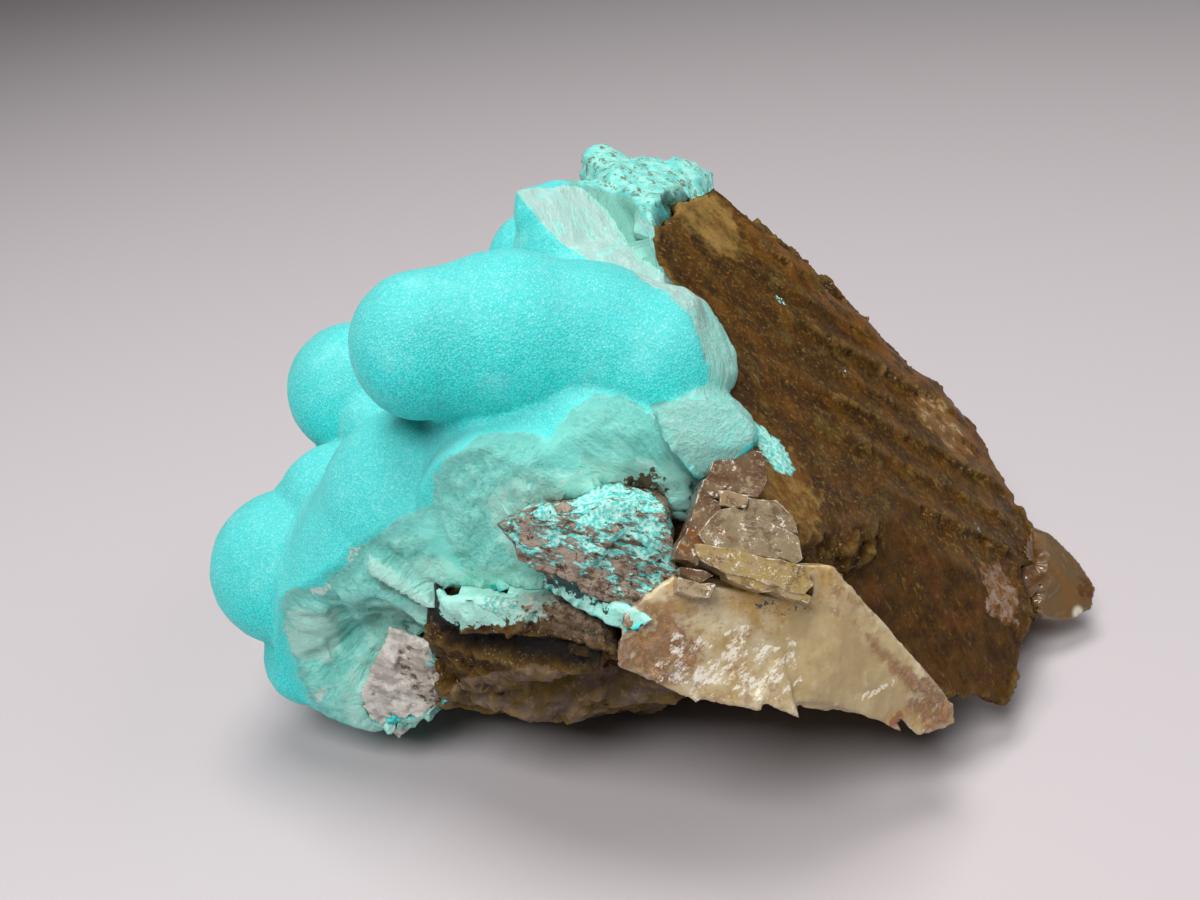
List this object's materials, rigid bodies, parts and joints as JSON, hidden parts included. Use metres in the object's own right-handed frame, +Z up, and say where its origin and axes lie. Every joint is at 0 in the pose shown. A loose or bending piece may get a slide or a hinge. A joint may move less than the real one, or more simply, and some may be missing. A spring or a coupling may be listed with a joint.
{
  "type": "hemimorphite specimen",
  "caption": "Velvety blue-green botryoidal hemimorphite crust with a broken fibrous section, on brown and honey calcite; a loose hand-size mineral specimen that rests on its underside.",
  "frame": {"origin": "middle of the bounding box in plan, on the surface that the specimen rests on", "axes": "+Z up, -Y towards the broken front with the fibrous section, +X towards the side where the big sloping crystal face runs down"},
  "size_m": [0.1076, 0.0822, 0.0624],
  "materials": {
    "brown_calcite": "satin",
    "hemimorphite": "matte",
    "honey_calcite": "satin",
    "cleavage_calcite": "satin",
    "amber_calcite": "satin",
    "white_calcite": "satin"
  },
  "bodies": {
    "root": {"brown_calcite_matrix": "brown_calcite", "hemimorphite_crust": "hemimorphite", "honey_calcite": "honey_calcite", "cleavage_block": "cleavage_calcite", "amber_tip": "amber_calcite", "corner_calcite": "white_calcite"}
  },
  "joints": []
}
